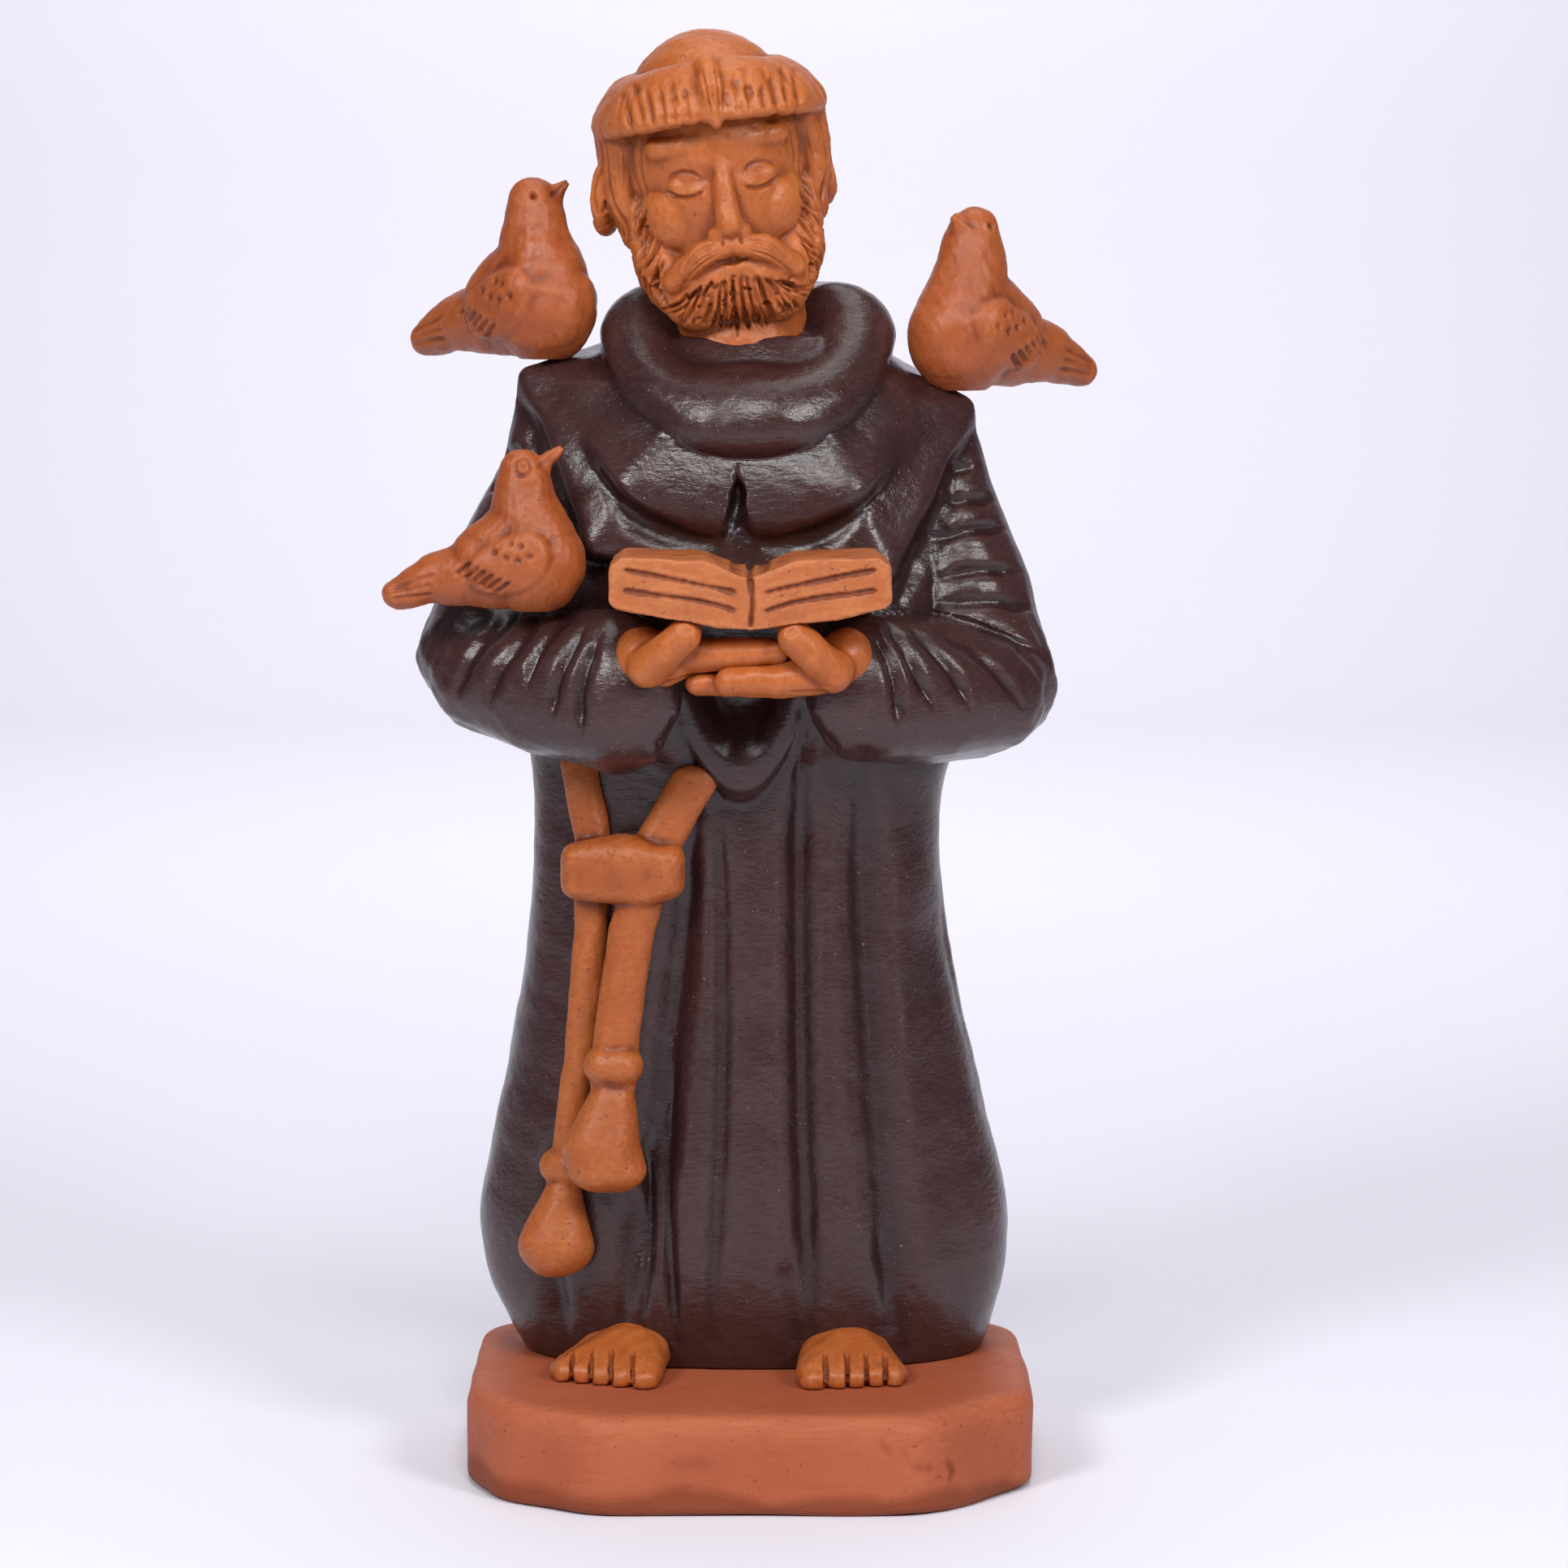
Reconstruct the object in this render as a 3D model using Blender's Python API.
"""Hand-built painted clay figure of a friar on a slab, with an open book, a knotted cord and three birds.

Metres, +Z up, and the figure faces -Y. The origin is the middle of the slab's underside.
"""

import math

import bmesh
import bpy
import numpy as np
from mathutils import Euler, Matrix, Vector
from mathutils.bvhtree import BVHTree

# Driving dimensions
BASE_WIDTH = 0.138
BASE_DEPTH = 0.113
BASE_HEIGHT = 0.024
BASE_TOP_EDGE = 0.0045
BASE_FOOT_CHAMFER = 0.0014
BASE_FRONT_CORNER = 0.027
BASE_BACK_CORNER = 0.016
FIGURE_HEIGHT = 0.326
BOOK_WIDTH = 0.066
BOOK_DEPTH = 0.037
BOOK_THICKNESS = 0.0125
BOOK_SPINE_DROP = 0.0055
PAGE_GROOVE_WIDTH = 0.0009
PAGE_GROOVE_DEPTH = 0.0009
BIRD_LENGTH = 0.050
PERCH_RADIUS = 0.0024
PERCH_SINK = 0.006
CLEARANCE = 0.0003

# The figure's free form is laid out in units of its height over 326, and a bird's in its length over 50
FIGURE_UNIT = FIGURE_HEIGHT / 326.0
BIRD_UNIT = BIRD_LENGTH / 50.0

# Fineness of the clay forms before and after thinning
HABIT_VOXEL = 1.5
SMALL_VOXEL = 0.9
HABIT_TRIANGLES = 3200
HEAD_TRIANGLES = 1750
HAND_TRIANGLES = 320
CORD_TRIANGLES = 700
FOOT_TRIANGLES = 220
BIRD_TRIANGLES = 560


def clear_scene():
    """Removes every object of the startup scene."""
    for obj in list(bpy.data.objects):
        bpy.data.objects.remove(obj, do_unlink=True)


def paint(name, colour, roughness):
    """A painted clay finish."""
    made = bpy.data.materials.new(name)
    made.use_nodes = True
    shader = made.node_tree.nodes["Principled BSDF"]
    shader.inputs["Base Color"].default_value = (*colour, 1.0)
    shader.inputs["Roughness"].default_value = roughness
    shader.inputs["Metallic"].default_value = 0.0
    made.diffuse_color = (*colour, 1.0)
    return made


def smooth_step(low, high, value):
    """0 below low, 1 above high, and an easy curve between them."""
    share = np.clip((value - low) / (high - low), 0.0, 1.0)
    return share * share * (3.0 - 2.0 * share)


def smooth_curve(knots, values, where):
    """A smooth curve through (knots, values), read at where."""
    knots = np.asarray(knots, float)
    values = np.asarray(values, float)
    where = np.clip(np.asarray(where, float), knots[0], knots[-1])
    slopes = np.gradient(values, knots)
    index = np.clip(np.searchsorted(knots, where) - 1, 0, len(knots) - 2)
    span = knots[index + 1] - knots[index]
    share = (where - knots[index]) / span
    before = (1 + 2 * share) * (1 - share) ** 2 * values[index]
    before += share * (1 - share) ** 2 * span * slopes[index]
    after = share**2 * (3 - 2 * share) * values[index + 1]
    after += share**2 * (share - 1) * span * slopes[index + 1]
    return before + after


def add_blob(bm, centre, radii, turn=(0.0, 0.0, 0.0)):
    """An ellipsoid; turn is in degrees."""
    radii = (radii,) * 3 if np.isscalar(radii) else radii
    spin = Euler([math.radians(a) for a in turn]).to_matrix().to_4x4()
    matrix = Matrix.Translation(Vector(centre)) @ spin @ Matrix.Diagonal((*radii, 1.0))
    bmesh.ops.create_icosphere(bm, subdivisions=3, radius=1.0, matrix=matrix)


def add_hull(bm, stations):
    """One skin stretched over a row of ellipsoids. A station is x, y, z and one or three radii."""
    hull = bmesh.new()
    for station in stations:
        radii = station[3:] if len(station) == 6 else (station[3],) * 3
        matrix = Matrix.Translation(Vector(station[:3])) @ Matrix.Diagonal((*radii, 1.0))
        bmesh.ops.create_icosphere(hull, subdivisions=2, radius=1.0, matrix=matrix)
    made = bmesh.ops.convex_hull(hull, input=hull.verts)
    inside = [g for g in made["geom_interior"] if isinstance(g, bmesh.types.BMVert)]
    bmesh.ops.delete(hull, geom=inside, context="VERTS")
    taken = bpy.data.meshes.new("hull")
    hull.to_mesh(taken)
    hull.free()
    bm.from_mesh(taken)
    bpy.data.meshes.remove(taken)


def add_limb(bm, stations):
    """A tapering limb: the hull of each two neighbours in a row of ellipsoids."""
    for first, second in zip(stations, stations[1:]):
        add_hull(bm, (first, second))


def add_wrapped_grid(bm, columns, rows, place, closed_ends=False):
    """A tube of columns by rows faces. place gives the points for shares of a turn and of the length."""
    sheet = bmesh.new()
    bmesh.ops.create_grid(sheet, x_segments=columns, y_segments=rows, size=0.5)
    flat = np.array([v.co for v in sheet.verts]) + 0.5
    points = place(flat[:, 0], flat[:, 1])
    for vert, point in zip(sheet.verts, points):
        vert.co = point
    bmesh.ops.remove_doubles(sheet, verts=sheet.verts, dist=1e-4)
    if not closed_ends:
        ends = [e for e in sheet.edges if e.is_boundary]
        bmesh.ops.holes_fill(sheet, edges=ends, sides=0)
    bmesh.ops.recalc_face_normals(sheet, faces=sheet.faces)
    taken = bpy.data.meshes.new("sheet")
    sheet.to_mesh(taken)
    sheet.free()
    bm.from_mesh(taken)
    bpy.data.meshes.remove(taken)


def new_object(name, mesh, material=None):
    """An object in the scene that holds the mesh."""
    obj = bpy.data.objects.new(name, mesh)
    bpy.context.scene.collection.objects.link(obj)
    if material is not None:
        mesh.materials.clear()
        mesh.materials.append(material)
    return obj


def evaluated(obj):
    """The object's mesh with its modifiers applied. The object itself is removed."""
    graph = bpy.context.evaluated_depsgraph_get()
    mesh = bpy.data.meshes.new_from_object(obj.evaluated_get(graph))
    bpy.data.objects.remove(obj, do_unlink=True)
    return mesh


def clay_of(name, bm, voxel, passes):
    """One closed skin over all that bm holds, with its joins smoothed as by a thumb."""
    mesh = bpy.data.meshes.new(name)
    bm.to_mesh(mesh)
    bm.free()
    obj = new_object(name, mesh)
    remesh = obj.modifiers.new("Remesh", "REMESH")
    remesh.mode = "VOXEL"
    remesh.voxel_size = voxel
    if passes:
        smooth = obj.modifiers.new("Smooth", "SMOOTH")
        smooth.factor = 0.5
        smooth.iterations = passes
    return evaluated(obj)


def points_and_normals(mesh):
    """The mesh's vertices and their normals, as two arrays."""
    count = len(mesh.vertices)
    points = np.empty(count * 3, np.float32)
    normals = np.empty(count * 3, np.float32)
    mesh.vertices.foreach_get("co", points)
    mesh.vertices.foreach_get("normal", normals)
    return points.reshape(-1, 3).astype(float), normals.reshape(-1, 3).astype(float)


def set_points(mesh, points):
    """Moves the mesh's vertices to points."""
    mesh.vertices.foreach_set("co", points.astype(np.float32).ravel())
    mesh.update()


def stroke_depth(flat, line, width, taper=0.25):
    """How far a tool stroke presses each flat point in, from 0 to 1, fading at its two ends."""
    line = np.asarray(line, float)
    steps = np.linalg.norm(np.diff(line, axis=0), axis=1)
    total = steps.sum()
    best = np.full(len(flat), 1e9)
    along = np.zeros(len(flat))
    begun = 0.0
    for start, end, length in zip(line, line[1:], steps):
        share = np.clip((flat - start) @ (end - start) / length**2, 0.0, 1.0)
        gap = np.linalg.norm(flat - start - share[:, None] * (end - start), axis=1)
        nearer = gap < best
        best = np.where(nearer, gap, best)
        along = np.where(nearer, begun + share * length, along)
        begun += length
    fade = smooth_step(0.0, taper, along / total) * smooth_step(0.0, taper, 1.0 - along / total)
    return np.exp(-((best / width) ** 2)) * (0.25 + 0.75 * fade)


def carve_front(mesh, strokes, facing=0.15):
    """Presses strokes into the front. A stroke is its line in x and z, its half width and its depth."""
    points, normals = points_and_normals(mesh)
    front = smooth_step(0.0, facing, -normals[:, 1])
    for line, width, depth in strokes:
        points -= normals * (stroke_depth(points[:, [0, 2]], line, width) * depth * front)[:, None]
    set_points(mesh, points)


def thinned(name, mesh, triangles):
    """The mesh with its triangles thinned to about that many."""
    obj = new_object(name, mesh)
    obj.modifiers.new("Triangulate", "TRIANGULATE")
    mesh = evaluated(obj)
    obj = new_object(name, mesh)
    decimate = obj.modifiers.new("Decimate", "DECIMATE")
    decimate.ratio = min(1.0, triangles / len(mesh.polygons))
    return evaluated(obj)


def combined(obj, other, operation):
    """Applies a Boolean with the other object, which is removed."""
    boolean = obj.modifiers.new("Boolean", "BOOLEAN")
    boolean.operation = operation
    boolean.object = other
    name = obj.name
    made = new_object(name, evaluated(obj))
    bpy.data.objects.remove(other, do_unlink=True)
    return made


# The skirt's outline by height: middle, half width, front and back reach, all in figure units
SKIRT_HEIGHTS = (-3, 0, 8, 20, 32, 54, 75, 95, 115, 128, 140, 150, 168, 190, 210, 225, 236, 246, 252)
SKIRT_MIDDLES = (1, 1, 0, -1, -1.4, -1.9, -2.2, -2.7, -3.2, -3.3, -3, -2, -1, 0, 0, 0, 0, 0, 0)
SKIRT_HALVES = (55.5, 57.5, 61, 65, 66.2, 62, 57.3, 53.7, 51, 50.2, 50.4, 52, 53, 52, 50, 49, 45, 36, 26)
SKIRT_FRONTS = (-6, -8, -11, -14, -15, -15, -14, -13, -12.5, -12, -12, -13, -16, -17, -16, -14, -11, -7, -3)
SKIRT_BACKS = (47, 48, 50, 53, 54, 52, 49, 47, 45, 44, 44, 45, 47, 48, 48, 46, 43, 38, 33)
SKIRT_SQUARENESS = 2.4


def skirt_outline(height):
    """Middle x, half width, middle y, front depth and back depth of the habit at a height."""
    middle = smooth_curve(SKIRT_HEIGHTS, SKIRT_MIDDLES, height)
    half = smooth_curve(SKIRT_HEIGHTS, SKIRT_HALVES, height)
    front = smooth_curve(SKIRT_HEIGHTS, SKIRT_FRONTS, height)
    back = smooth_curve(SKIRT_HEIGHTS, SKIRT_BACKS, height)
    centre = front + 0.55 * (back - front)
    return middle, half, centre, centre - front, back - centre


def skirt_front_at(x, height):
    """The y of the habit's front at x and a height, before any pleat."""
    middle, half, centre, front, _ = skirt_outline(height)
    share = min(0.98, abs((x - middle) / half))
    return float(centre - front * (1.0 - share**SKIRT_SQUARENESS) ** (1.0 / SKIRT_SQUARENESS))


def place_skirt(around, along):
    """Points of the habit's body for shares of a turn and of its height."""
    height = SKIRT_HEIGHTS[0] + along * (SKIRT_HEIGHTS[-1] - SKIRT_HEIGHTS[0])
    angle = around * 2.0 * math.pi
    middle, half, centre, front, back = skirt_outline(height)
    power = 2.0 / SKIRT_SQUARENESS
    across = np.sign(np.cos(angle)) * np.abs(np.cos(angle)) ** power
    depth = np.sign(np.sin(angle)) * np.abs(np.sin(angle)) ** power
    reach = np.where(depth < 0.0, front, back)
    return np.column_stack([middle + half * across, centre + reach * depth, height])


# The cowl: its roll round the neck, and the clay that fills the roll up to the neck
COWL_MIDDLE = (-0.5, 14.0)
COWL_HALVES = (23.5, 22.0)
COWL_FRONT_HEIGHT = 236.3
COWL_BACK_HEIGHT = 254.2
COWL_ROLL = (12.5, 10.8)
COWL_RISE = 0.5
COWL_FILL = (
    (0.5, -6, 242, 4),
    (-17, 4, 249.5, 5),
    (17, 4, 249, 5),
    (-20, 17, 254.5, 6),
    (20, 17, 254.5, 6),
    (0, 34, 258, 6),
    (0.5, 14, 236, 27, 25, 6),
)

# The yoke over the shoulders and the chest, down to the armholes
YOKE = (
    (-53.4, 12, 241.4, 3.2),
    (51.8, 12, 234.2, 3.2),
    (-53.4, 14, 228, 4.2),
    (51.4, 14, 220, 4.2),
    (-48, 33, 240, 5),
    (47, 33, 234, 5),
    (-45, -3, 222, 3.2),
    (42.5, -3, 212, 3.2),
    (-37, -12, 203, 4),
    (32, -13, 197, 4),
    (-14, -10, 234, 4),
    (14, -10, 234, 4),
    (-20, 36, 251, 4),
    (20, 36, 251, 4),
    (-27, 12, 245, 4),
    (27, 12, 244.5, 4),
    (-37, 42, 203, 5),
    (36, 42, 203, 5),
)


def place_cowl(around, roll):
    """Points of the cowl's roll, for shares of a turn round the neck and round the roll."""
    angle = around * 2.0 * math.pi
    turn = roll * 2.0 * math.pi
    rise = 0.5 + 0.5 * np.sin(angle)
    height = COWL_FRONT_HEIGHT + (COWL_BACK_HEIGHT - COWL_FRONT_HEIGHT) * smooth_step(0.0, COWL_RISE, rise)
    out = COWL_ROLL[0] * np.cos(turn)
    x = COWL_MIDDLE[0] + (COWL_HALVES[0] + out) * np.cos(angle)
    y = COWL_MIDDLE[1] + (COWL_HALVES[1] + out) * np.sin(angle)
    return np.column_stack([x, y, height + COWL_ROLL[1] * np.sin(turn)])


RIGHT_SLEEVE = (
    (-45.5, 16, 233, 12, 13, 10),
    (-48, 16, 218, 13, 15, 12),
    (-58.5, 12, 192, 16.5, 18, 15),
    (-63.5, 7, 175, 17, 18, 15.5),
    (-59, 1, 172, 18, 18, 16.5),
    (-47, -11, 169.5, 16.5, 17, 18.0),
    (-31, -23, 168, 12.5, 14, 20),
    (-27.5, -25, 168, 10.5, 12, 18.5),
)
LEFT_SLEEVE = (
    (44, 16, 225, 12, 13, 10),
    (46.5, 16, 213, 13, 15, 12),
    (52.5, 12, 190, 16.5, 17.5, 14),
    (56, 7, 167.5, 18, 18.5, 16.5),
    (53, 1, 166.5, 18, 18, 17),
    (42, -11, 167.5, 15.5, 17, 18),
    (28.5, -23, 169, 12, 14, 18),
    (24.5, -25, 169, 10.5, 12, 17),
)

# Where the blouse over the waist cord ends, in the middle and per unit of distance from it
BLOUSE_MIDDLE_X = -3.7
BLOUSE_LOW = 140.5
BLOUSE_RISE = 0.62
BLOUSE_ROUND = 4.0
BLOUSE_TOP = 151.0
BLOUSE_PROUD = 7.5

# The cape on the chest hangs in two lobes with a notch between them: its lower edge in x and z
CAPE_EDGE_LEFT = (
    (-36.4, 219.7), (-28.7, 210.1), (-18.1, 204.8), (-10.5, 203.6), (-5.4, 205.4), (-3.4, 211.0),
)
CAPE_NOTCH = (-2.7, 218.5)
CAPE_EDGE_RIGHT = (
    (-2.0, 211.0), (-0.2, 204.8), (4.4, 203.0), (9.8, 203.0), (16.0, 204.6), (22.4, 208.1), (30.1, 214.7),
)
CAPE_EDGE = ((-44, 231), *CAPE_EDGE_LEFT, CAPE_NOTCH, *CAPE_EDGE_RIGHT, (40, 226))
CAPE_TOP = (216.0, 236.0)
CAPE_PROUD = 4.0
CAPE_VALLEYS = (
    (CAPE_EDGE_LEFT, 2.2, 2.0),
    ((*CAPE_EDGE_LEFT[-2:], CAPE_NOTCH), 1.4, 1.2),
    (CAPE_EDGE_RIGHT, 2.2, 2.0),
    (((-57, 238), (-51, 226), (-47, 214), (-42, 198)), 2.6, 1.8),
    (((55, 229), (48, 214), (41, 200), (36, 189)), 2.6, 2.0),
)

# Pleats of the skirt: x at the top, middle and foot, heights of both ends, half width and depth
SKIRT_PLEATS = (
    ((-4.2, -6.0, -9.5), (138, 8), 2.1, 2.7),
    ((13.2, 12.2, 15.2), (145, 5), 2.8, 5.8),
    ((28.0, 30.5, 37.5), (145, 3), 2.8, 5.6),
    ((45.0, 47.0, 51.0), (122, 18), 6.0, 2.4),
    ((-18.5, -20.0, -18.0), (74, 7), 2.4, 3.6),
    ((-13.0, -21.0, -33.0), (138, 5), 4.2, 5.8),
    ((-47.0, -49.5, -45.0), (66, 3), 3.4, 3.6),
)
BACK_PLEATS = 6
BACK_PLEAT_DEPTH = 1.7

# Tool cuts on the sleeves, in x and z
SLEEVE_CUTS = (
    (((44, 219), (55, 220.5)), 1.3, 1.2),
    (((43, 211.5), (48, 213), (60, 214)), 1.4, 1.9),
    (((42, 204), (50, 206), (62, 205)), 1.5, 2.0),
    (((46, 194.5), (53, 196), (66, 195)), 1.6, 2.0),
    (((45, 187.5), (57, 187.5), (71, 182)), 1.5, 1.7),
    (((45, 183.5), (55, 181), (66, 173.5), (73, 166)), 1.5, 1.6),
    (((40, 183), (51, 176), (61, 165), (65, 157)), 1.5, 1.7),
    (((36, 182), (44, 175), (50, 165), (53, 157)), 1.6, 2.0),
    (((31.5, 181.5), (38, 174.5), (41.5, 165), (42.5, 160)), 1.6, 2.2),
    (((29.5, 179), (33.5, 171), (35, 157)), 1.6, 2.5),
    (((-55, 225), (-62, 222)), 1.5, 1.5),
    (((-55, 217), (-64, 214.5)), 1.6, 1.8),
    (((-56, 208.5), (-67, 206)), 1.6, 1.8),
    (((-74, 181), (-79, 169)), 2.2, 1.6),
    (((-62, 186), (-72, 174), (-77, 163)), 2.2, 2.2),
    (((-55, 184), (-65, 174), (-71, 163)), 2.2, 2.2),
    (((-50, 183), (-59, 172), (-62, 162)), 2.0, 1.9),
    (((-39, 184), (-47, 178), (-52, 169)), 1.6, 2.0),
    (((-39, 180), (-45, 170), (-46.5, 160)), 1.6, 2.0),
    (((-35.5, 177.5), (-39.5, 169), (-39, 157)), 1.7, 2.5),
)


def cape_relief(points, normals):
    """How far the cape stands proud of the chest."""
    x, z = points[:, 0], points[:, 2]
    edge = smooth_curve(*zip(*CAPE_EDGE), x)
    above = smooth_step(-0.5, 4.0, z - edge) * (1.0 - smooth_step(*CAPE_TOP, z))
    sides = smooth_step(-44.0, -33.0, x) * (1.0 - smooth_step(28.0, 38.0, x))
    front = smooth_step(0.15, 0.5, -normals[:, 1]) * (points[:, 1] < 6.0)
    return CAPE_PROUD * above * sides * front


def blouse_relief(points, normals):
    """How far the blouse hangs out over the waist."""
    x, z = points[:, 0], points[:, 2]
    aside = np.hypot(x - BLOUSE_MIDDLE_X, BLOUSE_ROUND) - BLOUSE_ROUND
    edge = np.minimum(BLOUSE_TOP, BLOUSE_LOW + BLOUSE_RISE * aside)
    above = smooth_step(-2.5, 7.0, z - edge) * (1.0 - smooth_step(20.0, 42.0, z - edge))
    return BLOUSE_PROUD * above * smooth_step(0.1, 0.6, -normals[:, 1])


def back_relief(points, normals):
    """The soft pleats that run down the back of the skirt."""
    x, z = points[:, 0], points[:, 2]
    wave = np.cos((x / 62.0) * math.pi * BACK_PLEATS * 0.5 + 0.4 * np.sin(z / 40.0))
    reach = smooth_step(4.0, 20.0, z) * (1.0 - smooth_step(95.0, 150.0, z))
    return -BACK_PLEAT_DEPTH * (0.5 + 0.5 * wave) ** 2 * reach * smooth_step(0.1, 0.6, normals[:, 1])


def pleat_lines(pleats):
    """The pleats as strokes in x and z."""
    lines = []
    for across, (top, foot), width, depth in pleats:
        heights = (top, 0.5 * (top + foot), foot)
        fine = np.linspace(top, foot, 9)
        bent = smooth_curve(heights[::-1], across[::-1], fine)
        lines.append((np.column_stack([bent, fine]), width, depth))
    return lines


def habit_mesh(voxel=HABIT_VOXEL):
    """The habit with its sleeves, cowl and hood, in figure units."""
    bm = bmesh.new()
    add_wrapped_grid(bm, 96, 84, place_skirt)
    add_wrapped_grid(bm, 64, 24, place_cowl, closed_ends=True)
    add_limb(bm, RIGHT_SLEEVE)
    add_limb(bm, LEFT_SLEEVE)
    add_limb(bm, ((0, 38, 252, 24, 9, 11), (0, 47, 232, 21, 8, 14), (0, 50, 205, 7, 5, 7)))
    add_hull(bm, YOKE)
    add_hull(bm, COWL_FILL)
    mesh = clay_of("habit", bm, voxel, 5)
    points, normals = points_and_normals(mesh)
    proud = cape_relief(points, normals) + blouse_relief(points, normals) + back_relief(points, normals)
    set_points(mesh, points + normals * proud[:, None])
    carve_front(mesh, pleat_lines(SKIRT_PLEATS))
    carve_front(mesh, CAPE_VALLEYS, 0.3)
    carve_front(mesh, SLEEVE_CUTS, 0.35)
    return mesh


# The head in its own axes, from the middle between the ears
HEAD_PLACE = (-8.0, 9.0, 291.5)
HEAD_TURN = (7.0, -8.0, 3.0)
RING_MIDDLE = (0.0, 1.5)
RING_HALVES = (22.0, 25.0)
RING_FRONT_HEIGHT = 20.4
RING_SIDE_HEIGHT = 15.2
RING_BACK_HEIGHT = 8.0
RING_ROLL = (6.2, 6.8)
RING_LOCKS = 44


def place_hair_ring(around, roll):
    """Points of the roll of hair round the tonsure."""
    angle = around * 2.0 * math.pi
    turn = roll * 2.0 * math.pi
    rise = np.sin(angle)
    height = np.where(
        rise < 0.0,
        RING_SIDE_HEIGHT + (RING_FRONT_HEIGHT - RING_SIDE_HEIGHT) * rise**2,
        RING_SIDE_HEIGHT + (RING_BACK_HEIGHT - RING_SIDE_HEIGHT) * rise**2,
    )
    x = RING_MIDDLE[0] + (RING_HALVES[0] + RING_ROLL[0] * np.cos(turn)) * np.cos(angle)
    y = RING_MIDDLE[1] + (RING_HALVES[1] + RING_ROLL[0] * np.cos(turn)) * np.sin(angle)
    return np.column_stack([x, y, height + RING_ROLL[1] * np.sin(turn)])


def head_forms(bm):
    """The skull, face, ears, hair and beard as rough clay, in the head's axes."""
    add_blob(bm, (0, 2.5, 5.6), (22.8, 26.5, 29.0))
    add_limb(bm, ((0, -4.5, -3, 19.0, 20, 19), (0, -7, -19, 15, 15.5, 12)))
    add_limb(bm, ((0, 6, -18, 16.5, 16.5, 12), (0, -3, -50, 19.0, 19.5, 8)))
    add_blob(bm, (0, 13, -2), (23.5, 18, 22))
    for side in (-1, 1):
        add_blob(bm, (side * 8.4, -11.0, -8.0), (11.6, 11.2, 11.8))
        temple, before_ear = (side * 22, 3, 13, 6.4, 13, 8), (side * 23.4, 0, 0, 4.8, 9, 9)
        add_limb(bm, (temple, before_ear, (side * 21.8, -3.4, -10, 3.6, 4.8, 6)))
        sideburn, cheek = (side * 19.8, -4.5, -8, 4.2, 6, 7), (side * 17.6, -8.5, -19, 5.6, 9, 9)
        add_limb(bm, (sideburn, cheek, (side * 9, -12.5, -28, 9, 10, 8)))
        add_blob(bm, (side * 24.6 - 0.9, 4.5, -3.3), (3.3, 6.2, 10.2), (0, side * -14, side * 26))
        moustache = (side * 7.5, -24.4, -17.6, 3.4)
        add_limb(bm, ((side * 1.4, -25.6, -15.4, 2.8), moustache, (side * 14, -20.4, -22.5, 2.8)))
        add_blob(bm, (side * 3.0, -25.2, -12.2), (2.5, 2.7, 2.3))
    add_limb(bm, ((-13, -19.0, 6.6, 3.0), (0, -21.6, 7.2, 3.2), (13, -19.0, 6.6, 3.0)))
    bridge, tip = (0, -24.4, -4, 2.8, 3.0, 3.4), (0, -26.5, -10.4, 3.4, 3.5, 2.9)
    add_limb(bm, ((0, -21.4, 6.0, 2.6, 2.8, 3.4), bridge, tip))
    add_limb(bm, ((0, -12, -23, 18, 14.5, 10), (0, -12.5, -28, 15, 12.5, 7)))
    add_blob(bm, (0, -24.8, -20.6), (3.8, 2.3, 1.8))
    add_wrapped_grid(bm, 88, 20, place_hair_ring, closed_ends=True)
    lock = (0, -29.4, 20, 2.8, 2.6, 4)
    add_limb(bm, ((0, -27.2, 26.0, 2.6, 2.6, 2), lock, (0, -28.4, 14.6, 1.2, 1.8, 1.4)))


def beard_strokes():
    """The comb strokes of the beard and sideburns, in the head's x and z."""
    strokes = []
    for step in range(15):
        share = step / 14.0 * 2.0 - 1.0
        top = (share * 10.5, -23.0 - 2.5 * share**2)
        foot = (share * 18.5, -37.5 + 9.0 * share**2)
        strokes.append(((top, foot), 0.75, 1.0))
    for side in (-1, 1):
        for step in range(6):
            share = step / 5.0
            top = (side * (21.0 - 1.5 * share), -5.0 - 15.0 * share)
            foot = (side * (15.5 - 0.5 * share), -12.0 - 15.0 * share)
            strokes.append(((top, foot), 0.8, 0.8))
    return strokes


def face_relief(points, normals):
    """Eye sockets, lowered lids and the seam below each lid, pressed into the face."""
    x, z = np.abs(points[:, 0]), points[:, 2]
    front = smooth_step(0.1, 0.5, -normals[:, 1])
    socket = np.exp(-(((x - 8.8) / 5.4) ** 2) - (((z - 1.2) / 3.4) ** 2))
    lid = np.exp(-(((x - 8.9) / 4.4) ** 2) - (((z + 0.0) / 2.3) ** 2))
    seam = np.exp(-(((x - 8.9) / 4.2) ** 2) - (((z + 1.7 - 0.05 * (x - 8.9) ** 2) / 0.55) ** 2))
    return (-1.7 * socket + 1.9 * lid - 0.6 * seam) * front


def hair_relief(points):
    """The locks that cross the roll of hair."""
    x, y, z = points[:, 0] - RING_MIDDLE[0], points[:, 1] - RING_MIDDLE[1], points[:, 2]
    angle = np.arctan2(y, x)
    out = np.hypot(x / RING_HALVES[0], y / RING_HALVES[1])
    band = smooth_step(0.98, 1.12, out) * smooth_step(2.0, 8.0, z) * (1.0 - smooth_step(24.0, 29.0, z))
    return -0.55 * (0.5 + 0.5 * np.cos(angle * RING_LOCKS)) ** 2 * band


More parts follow.
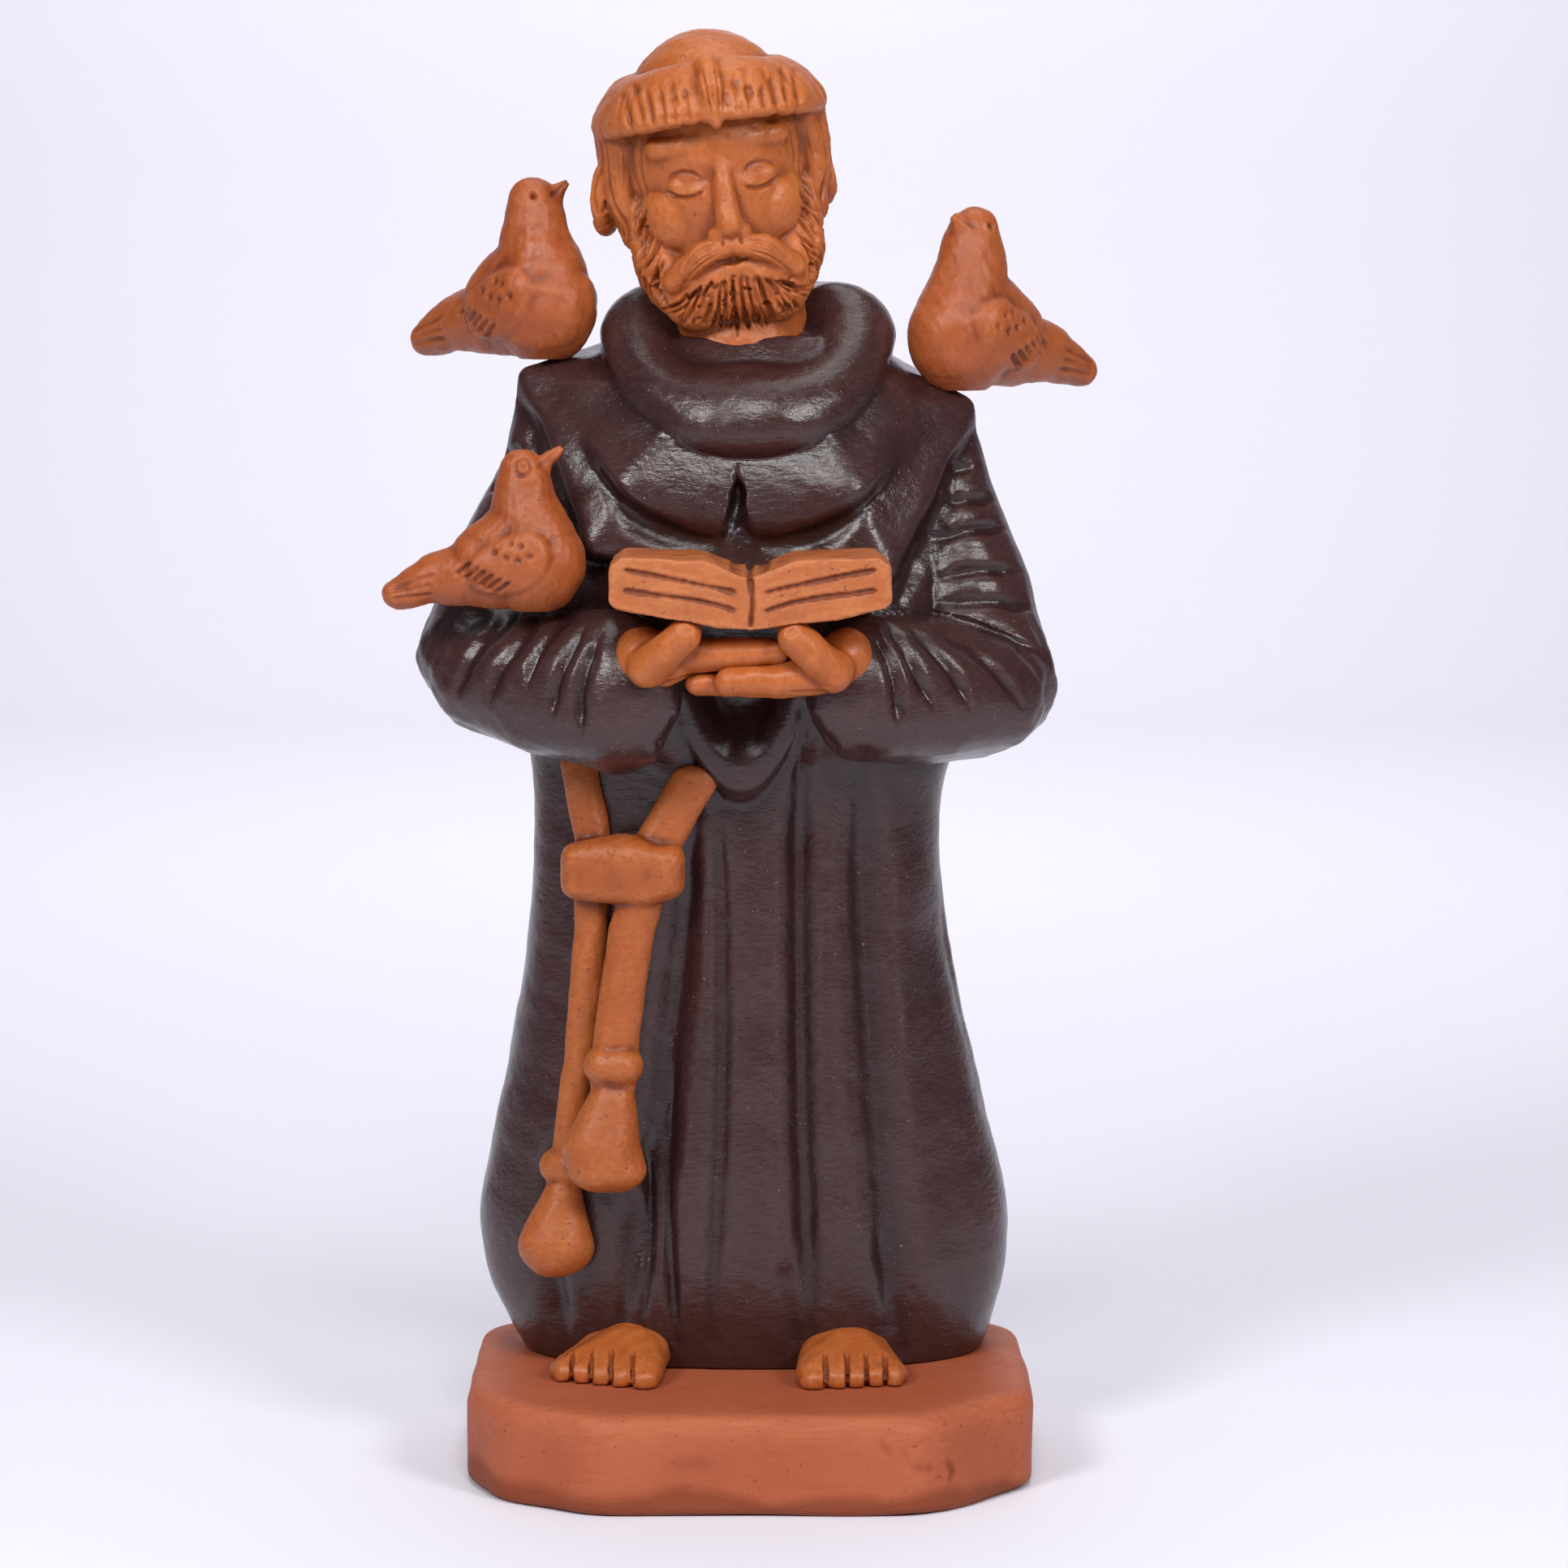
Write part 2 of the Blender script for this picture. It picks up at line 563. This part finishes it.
def head_mesh(voxel=SMALL_VOXEL):
    """The head and neck, in figure units."""
    bm = bmesh.new()
    head_forms(bm)
    mesh = clay_of("head", bm, voxel, 5)
    points, normals = points_and_normals(mesh)
    proud = face_relief(points, normals) + hair_relief(points)
    set_points(mesh, points + normals * proud[:, None])
    carve_front(mesh, beard_strokes())
    turn = Euler([math.radians(a) for a in HEAD_TURN]).to_matrix().to_4x4()
    mesh.transform(Matrix.Translation(Vector(HEAD_PLACE)) @ turn)
    return mesh


def right_hand_mesh(voxel=SMALL_VOXEL):
    """The right hand, palm up under the book, in figure units."""
    bm = bmesh.new()
    add_limb(bm, ((-33, -28, 176, 7, 7, 8.5), (-25, -36, 177, 6.8, 6.8, 8), (-17.5, -39, 177, 5, 5.8, 4.8)))
    add_limb(bm, ((-24, -42, 175.5, 4.9), (-19.4, -45.5, 180, 4.3), (-15.2, -46.8, 183.8, 4.2)))
    middle = (-6, -41, 178.6, 3.6, 4.8, 4)
    add_limb(bm, ((-18, -39.5, 178.3, 4.4, 5.4, 4.4), middle, (6, -42, 179.4, 3, 3.8, 3.2)))
    return clay_of("right_hand", bm, voxel, 3)


def left_hand_mesh(voxel=SMALL_VOXEL):
    """The left hand, palm up below the other, in figure units."""
    bm = bmesh.new()
    add_limb(bm, ((31, -28, 178, 7, 7, 8), (22.5, -36, 177, 6.8, 6.8, 7.6), (16, -39, 174, 5, 5.8, 4.8)))
    add_limb(bm, ((19.5, -43, 174.8, 5), (14.6, -46, 179.5, 4.5), (10.4, -47.0, 183.4, 4.3)))
    middle = (6, -42.5, 172.6, 3.8, 4.6, 4.2)
    add_limb(bm, ((16, -40, 173.6, 4.6, 5.4, 4.6), middle, (-5, -44, 172.6, 3.4, 3.8, 3.4)))
    add_limb(bm, ((8, -38.5, 172.2, 3.4, 4, 3.6), (-12, -39.5, 171.6, 3.2, 3.6, 2.8)))
    return clay_of("left_hand", bm, voxel, 3)


def cord_mesh(voxel=SMALL_VOXEL):
    """The waist cord's two hanging ends, wrapped once and knotted above their tassels, in figure units."""

    def on_skirt(x, z, proud, *radii):
        return (x, skirt_front_at(x, z) - proud, z, *radii)

    bm = bmesh.new()
    far = [
        on_skirt(-41.5, 149, 1.5, 4.6, 3.4, 4),
        on_skirt(-37.5, 128, 2.0, 4.4, 3.4, 4),
        on_skirt(-38.5, 108, 2.0, 4.2, 3.4, 4),
        on_skirt(-41.5, 76, 2.0, 4.0, 3.4, 4),
        on_skirt(-45.0, 52, 2.6, 3.8, 3.4, 4),
    ]
    near = [
        on_skirt(-13.5, 146, 1.0, 6.2, 3.8, 4),
        on_skirt(-22.0, 131, 3.0, 6.0, 4, 4),
        on_skirt(-28.5, 110, 4.6, 5.6, 4, 4),
        on_skirt(-32.0, 86, 5.8, 5.6, 4, 4),
        on_skirt(-33.0, 72, 6.4, 5.8, 4, 4),
    ]
    add_limb(bm, far)
    add_limb(bm, near)
    wrap_y = skirt_front_at(-31.0, 122.0)
    add_hull(
        bm,
        (
            (-41.8, wrap_y - 4.0, 126.6, 4.2, 5.0, 4.0),
            (-41.8, wrap_y - 4.0, 121.2, 4.2, 5.0, 4.0),
            (-31.0, wrap_y - 6.5, 128.0, 5.0, 6.0, 5.4),
            (-19.8, wrap_y - 6.5, 126.0, 4.8, 6.0, 4.8),
            (-22.0, wrap_y - 6.0, 120.4, 4.8, 5.6, 4.8),
        ),
    )
    add_limb(bm, (on_skirt(-46.6, 51, 3.2, 4.8, 4.6, 4.8), on_skirt(-44.4, 51, 3.2, 4.8, 4.6, 4.8)))
    add_limb(bm, (on_skirt(-34.2, 77.0, 6.6, 6, 5.6, 5.2), on_skirt(-31.6, 77.0, 6.6, 6, 5.6, 5.2)))
    add_limb(bm, (on_skirt(-45.6, 45, 3.2, 4.6, 4.2, 4), on_skirt(-47.2, 31.5, 4.6, 9.4, 7.2, 7.6)))
    add_limb(
        bm,
        (
            on_skirt(-33.4, 69, 6.6, 6, 5, 4),
            on_skirt(-35.8, 57, 8.0, 9.6, 7, 7),
            on_skirt(-34.6, 52, 8.0, 9.8, 7.2, 6.0),
        ),
    )
    return clay_of("cord", bm, voxel, 2)


# Each foot: its heel and its instep as stations, then the first and the last toe's tip
TOE_SHARES = (0.0, 0.29, 0.53, 0.77, 1.0)
TOE_SIZES = (3.7, 2.8, 2.7, 2.5, 2.3)
RIGHT_FOOT = (((-27, 6, 5, 9, 8, 8), (-29.5, -11, 5, 9.5, 7, 6.4)), ((-25.5, -28.0), (-45.5, -20.5)))
LEFT_FOOT = (((22, 6, 5, 9, 8, 8), (24, -11, 5, 9, 7, 6.0)), ((15.5, -28.5), (35.0, -25.0)))


def foot_mesh(foot, voxel=SMALL_VOXEL):
    """A bare foot that comes out from under the hem."""
    stations, (first, last) = foot
    bm = bmesh.new()
    ball = (first[0], first[1] + 4.8, 2.6, 4.4, 4.4, 3.6)
    side = (last[0], last[1] + 4.4, 1.8, 3.4, 3.8, 2.8)
    add_hull(bm, (*stations, ball, side))
    for share, size in zip(TOE_SHARES, TOE_SIZES):
        x = first[0] + (last[0] - first[0]) * share
        y = first[1] + (last[1] - first[1]) * share
        add_limb(bm, ((x, y + 6.0, 2.2, size, 3.0, 3.2), (x, y + 1.6, 1.6, 0.95 * size, 2.6, 3.0)))
    return clay_of("foot", bm, voxel, 1)


def shell(name, mesh, triangles, to_world):
    """The thinned mesh as an object at its real size and place."""
    mesh = thinned(name, mesh, triangles)
    mesh.transform(to_world)
    return new_object(name, mesh)


def figure_to_world():
    """From figure units, with their origin on the slab's top, to metres."""
    lift = Matrix.Translation(Vector((0.0, 0.0, BASE_HEIGHT + CLEARANCE)))
    return lift @ Matrix.Scale(FIGURE_UNIT, 4)


# Each perch: the place of the bird's seat in figure units, the bird's heading in degrees from +X, how far its
# head is turned to its left, and its size
BIRD_ON_RIGHT_SHOULDER = ((-50.9, 14.0, 246.2), -38.0, 34.0, 1.15)
BIRD_ON_LEFT_SHOULDER = ((52.6, 14.0, 238.6), 219.0, 34.0, 1.16)
BIRD_ON_FOREARM = ((-52.0, -22.0, 187.5), -4.0, 0.0, 1.0)
SEAT_SLICE = 0.0005


def bird_at(name, perch):
    """The bird's closed mesh on its perch, with a flat seat, and the middle of that seat."""
    place, heading, look, size = perch
    mesh = thinned(name, bird_mesh(look), BIRD_TRIANGLES)
    mesh.transform(Matrix.Scale(BIRD_UNIT * size, 4))
    bm = bmesh.new()
    bm.from_mesh(mesh)
    geometry = [*bm.verts, *bm.edges, *bm.faces]
    plane = {"plane_co": (0.0, 0.0, SEAT_SLICE), "plane_no": (0.0, 0.0, -1.0)}
    cut = bmesh.ops.bisect_plane(bm, geom=geometry, clear_outer=True, **plane)
    edges = [g for g in cut["geom_cut"] if isinstance(g, bmesh.types.BMEdge)]
    bmesh.ops.holes_fill(bm, edges=edges, sides=0)
    bmesh.ops.recalc_face_normals(bm, faces=bm.faces)
    bm.to_mesh(mesh)
    bm.free()
    shift = Matrix.Translation(figure_to_world() @ Vector(place)) @ Matrix.Translation((0, 0, -SEAT_SLICE))
    mesh.transform(shift @ Matrix.Rotation(math.radians(heading), 4, "Z"))
    low = min(v.co.z for v in mesh.vertices)
    seat = [v.co for v in mesh.vertices if v.co.z < low + 1e-6]
    return mesh, sum(seat, Vector()) / len(seat)


def stub_under(figure, seat):
    """The short stub of clay that a bird stands on, from inside the figure's clay up into the bird's seat."""
    tree = BVHTree.FromPolygons(
        [v.co for v in figure.data.vertices], [p.vertices for p in figure.data.polygons]
    )
    top = seat.z + CLEARANCE
    struck = tree.ray_cast(Vector((seat.x, seat.y, top)), Vector((0.0, 0.0, -1.0)))[0]
    depth = PERCH_SINK + (0.0 if struck is None else top - struck.z)
    bm = bmesh.new()
    bmesh.ops.create_cone(
        bm,
        cap_ends=True,
        cap_tris=False,
        segments=16,
        radius1=PERCH_RADIUS * 1.7,
        radius2=PERCH_RADIUS,
        depth=depth,
        matrix=Matrix.Translation((seat.x, seat.y, top - depth / 2.0)),
    )
    mesh = bpy.data.meshes.new("perch")
    bm.to_mesh(mesh)
    bm.free()
    return new_object("perch", mesh)


def room_for(mesh):
    """The room a bird needs in the clay it is pressed on: its form, grown by a little over the clearance."""
    room = mesh.copy()
    points, normals = points_and_normals(room)
    set_points(room, points + normals * 1.25 * CLEARANCE)
    return new_object("room", room)


def seat_bird(figure, name, perch, material):
    """Presses a bird on the figure, on a stub. Returns the figure with its stub and its dent."""
    mesh, seat = bird_at(name, perch)
    figure = combined(figure, stub_under(figure, seat), "UNION")
    figure = combined(figure, room_for(mesh), "DIFFERENCE")
    new_object(name, mesh, material)
    return figure


def block(name, low, high):
    """A plain box between two corners."""
    bm = bmesh.new()
    bmesh.ops.create_cube(bm, size=1.0)
    low, high = Vector(low), Vector(high)
    size = high - low
    matrix = Matrix.Translation((low + high) / 2.0) @ Matrix.Diagonal((*size, 1.0))
    bmesh.ops.transform(bm, matrix=matrix, verts=bm.verts)
    mesh = bpy.data.meshes.new(name)
    bm.to_mesh(mesh)
    bm.free()
    return new_object(name, mesh)


def make_figure(material):
    """The friar: habit, head, hands, feet and cord, all one clay body."""
    to_world = figure_to_world()
    figure = shell("figure", habit_mesh(), HABIT_TRIANGLES, to_world)
    parts = [
        shell("head", head_mesh(), HEAD_TRIANGLES, to_world),
        shell("right_hand", right_hand_mesh(), HAND_TRIANGLES, to_world),
        shell("left_hand", left_hand_mesh(), HAND_TRIANGLES, to_world),
        shell("cord", cord_mesh(), CORD_TRIANGLES, to_world),
        shell("right_foot", foot_mesh(RIGHT_FOOT), FOOT_TRIANGLES, to_world),
        shell("left_foot", foot_mesh(LEFT_FOOT), FOOT_TRIANGLES, to_world),
    ]
    for part in parts:
        figure = combined(figure, part, "UNION")
    figure = combined(figure, book_solid("book_room", CLEARANCE), "DIFFERENCE")
    floor = BASE_HEIGHT + CLEARANCE
    reach = FIGURE_HEIGHT
    under = block("under", (-reach, -reach, floor - reach), (reach, reach, floor))
    figure = combined(figure, under, "DIFFERENCE")
    figure.name = "figure"
    figure.data.materials.clear()
    figure.data.materials.append(material)
    return figure


# The book's end face in shares of its half width and of its thickness, from the spine outwards
BOOK_PLACE = (0.0, -51.0, 185.0)
BOOK_TOP_SHARES = ((0.0, 1.0), (0.12, 1.1), (0.32, 1.3), (0.6, 1.34), (0.9, 1.36), (0.985, 1.2))
BOOK_UNDER_SHARES = ((1.0, 0.55), (0.96, 0.42), (0.6, 0.22), (0.25, 0.07))


def book_profile(grow):
    """The outline of the book's end face in x and z, from the spine's underside, grown outwards by grow."""
    half = BOOK_WIDTH / 2.0
    right = [(half * x, BOOK_THICKNESS * z + grow) for x, z in BOOK_TOP_SHARES]
    right += [(half * x, BOOK_SPINE_DROP * z * 2.2 - grow) for x, z in BOOK_UNDER_SHARES]
    right = [(x + grow * (x > 0.9 * half), z) for x, z in right]
    left = [(-x, z) for x, z in right[:0:-1]]
    return [*right, (0.0, -grow), *left]


def book_solid(name, grow=0.0):
    """The open book, or the room it needs with a clearance of grow round it."""
    bm = bmesh.new()
    front = figure_to_world() @ Vector(BOOK_PLACE)
    verts = [bm.verts.new((front.x + x, front.y - grow, front.z + z)) for x, z in book_profile(grow)]
    face = bm.faces.new(verts)
    made = bmesh.ops.extrude_face_region(bm, geom=[face])
    moved = [g for g in made["geom"] if isinstance(g, bmesh.types.BMVert)]
    bmesh.ops.translate(bm, verts=moved, vec=(0.0, BOOK_DEPTH + 2.0 * grow, 0.0))
    bmesh.ops.recalc_face_normals(bm, faces=bm.faces)
    mesh = bpy.data.meshes.new(name)
    bm.to_mesh(mesh)
    bm.free()
    return new_object(name, mesh)


def make_book(material):
    """The open book, with two grooves along the page edges of each half."""
    book = book_solid("book")
    bevel = book.modifiers.new("Bevel", "BEVEL")
    bevel.width = 0.0011
    bevel.segments = 2
    bevel.limit_method = "ANGLE"
    bevel.angle_limit = math.radians(50.0)
    front = figure_to_world() @ Vector(BOOK_PLACE)
    half = BOOK_WIDTH / 2.0
    book = new_object("book", evaluated(book))
    for side in (-1.0, 1.0):
        for level in (0.36, 0.70):
            inner = Vector((side * half * 0.10, 0.0, BOOK_THICKNESS * level))
            outer = Vector((side * half * 0.90, 0.0, BOOK_THICKNESS * (level + 0.42)))
            run = outer - inner
            bm = bmesh.new()
            bmesh.ops.create_cube(bm, size=1.0)
            size = (run.length, 2.0 * PAGE_GROOVE_DEPTH, PAGE_GROOVE_WIDTH, 1.0)
            tilt = Matrix.Rotation(-math.atan2(run.z, run.x), 4, "Y")
            matrix = Matrix.Translation(front + (inner + outer) / 2.0) @ tilt @ Matrix.Diagonal(size)
            bmesh.ops.transform(bm, matrix=matrix, verts=bm.verts)
            mesh = bpy.data.meshes.new("groove")
            bm.to_mesh(mesh)
            bm.free()
            book = combined(book, new_object("groove", mesh), "DIFFERENCE")
    book.name = "book"
    book.data.materials.clear()
    book.data.materials.append(material)
    return book


def bird_mesh(look, voxel=0.75):
    """A perched bird in bird units, with its seat at the origin and its head turned by look degrees."""

    def turned(x, z, *radii):
        angle = math.radians(look)
        return (-1.2 + (x + 1.2) * math.cos(angle), (x + 1.2) * math.sin(angle), z, *radii)

    bm = bmesh.new()
    add_blob(bm, (1, 0, 11.6), (12.3, 10.6, 12.2))
    add_limb(
        bm,
        (
            (-3, 0, 11, 10, 9.4, 10),
            (-13, 0, 9.6, 7.6, 7.6, 8.4),
            (-23, 0, 8.0, 5.6, 5.8, 6.0),
            (-32, 0, 4.4, 4.2, 4.8, 3.9),
        ),
    )
    breast, neck, throat = (0.8, 0, 17, 10.4, 9.6, 9), (-1.3, 0, 25.5, 7.8, 7.4, 7), (-1.4, 0, 31, 6.6, 6.3, 6)
    add_limb(bm, (breast, neck, throat, (-1.8, 0, 33.4, 5.6, 5.5, 5.5)))
    add_limb(bm, ((-3.0, 0, 20, 8.0, 8.0, 7), (-11.0, 0, 13.5, 8.2, 8.2, 7.5)))
    add_limb(bm, (turned(2.0, 33.2, 3.2, 3.0, 3.4), turned(3.8, 36.5, 1.6, 1.5, 1.6)))
    for side in (-1, 1):
        add_limb(bm, ((0.5, side * 8.6, 13.5, 5.8, 2.6, 6.2), (-8.0, side * 7.4, 10.5, 6.0, 2.4, 5.6)))
    return clay_of("bird", bm, voxel, 3)


def base_outline():
    """The slab's outline seen from above, with its corners cut off, as x and y."""
    half = BASE_WIDTH / 2.0
    front, back = -BASE_DEPTH / 2.0, BASE_DEPTH / 2.0
    cut, nip = BASE_FRONT_CORNER, BASE_BACK_CORNER
    return [
        (-half + 1.15 * cut, front),
        (half - cut, front),
        (half, front + cut),
        (half, back - nip),
        (half - nip, back),
        (-half + nip, back),
        (-half, back - nip),
        (-half, front + 1.1 * cut),
        (-half + 0.35 * cut, front + 0.5 * cut),
    ]


def make_base(material):
    """The slab the figure stands on, with a chamfered foot and a rounded top edge."""
    bm = bmesh.new()
    face = bm.faces.new([bm.verts.new((x, y, 0.0)) for x, y in base_outline()])
    if face.normal.z < 0.0:
        face.normal_flip()
    made = bmesh.ops.extrude_face_region(bm, geom=[face])
    top = [g for g in made["geom"] if isinstance(g, bmesh.types.BMVert)]
    bmesh.ops.translate(bm, verts=top, vec=(0.0, 0.0, BASE_HEIGHT))
    bmesh.ops.recalc_face_normals(bm, faces=bm.faces)
    rounded = [e for e in bm.edges if all(v.co.z > BASE_HEIGHT / 2.0 for v in e.verts)]
    foot = [e for e in bm.edges if all(v.co.z < BASE_HEIGHT / 2.0 for v in e.verts)]
    upright = [e for e in bm.edges if e not in rounded and e not in foot]
    bmesh.ops.bevel(
        bm, geom=upright, offset=0.006, segments=3, profile=0.5, affect="EDGES", offset_type="OFFSET"
    )
    rounded = [e for e in bm.edges if all(v.co.z > BASE_HEIGHT / 2.0 for v in e.verts)]
    bmesh.ops.bevel(
        bm, geom=rounded, offset=BASE_TOP_EDGE, segments=3, profile=0.5, affect="EDGES", offset_type="OFFSET"
    )
    foot = [e for e in bm.edges if all(v.co.z < 1e-6 for v in e.verts)]
    bmesh.ops.bevel(
        bm, geom=foot, offset=BASE_FOOT_CHAMFER, segments=1, profile=0.5, affect="EDGES", offset_type="OFFSET"
    )
    mesh = bpy.data.meshes.new("base")
    bm.to_mesh(mesh)
    bm.free()
    return new_object("base", mesh, material)


def main():
    clear_scene()
    habit_paint = paint("habit brown paint", (0.070, 0.034, 0.036), 0.38)
    clay_paint = paint("clay brown paint", (0.50, 0.155, 0.058), 0.5)
    bird_clay = paint("red clay", (0.45, 0.13, 0.055), 0.5)
    base_paint = paint("pink clay paint", (0.47, 0.135, 0.072), 0.6)
    make_base(base_paint)
    figure = make_figure(habit_paint)
    figure = seat_bird(figure, "bird_on_right_shoulder", BIRD_ON_RIGHT_SHOULDER, bird_clay)
    figure = seat_bird(figure, "bird_on_left_shoulder", BIRD_ON_LEFT_SHOULDER, bird_clay)
    figure = seat_bird(figure, "bird_on_forearm", BIRD_ON_FOREARM, bird_clay)
    make_book(clay_paint)
    for obj in bpy.data.objects:
        obj.data.shade_smooth()
        obj.data.set_sharp_from_angle(angle=math.radians(40.0))


main()
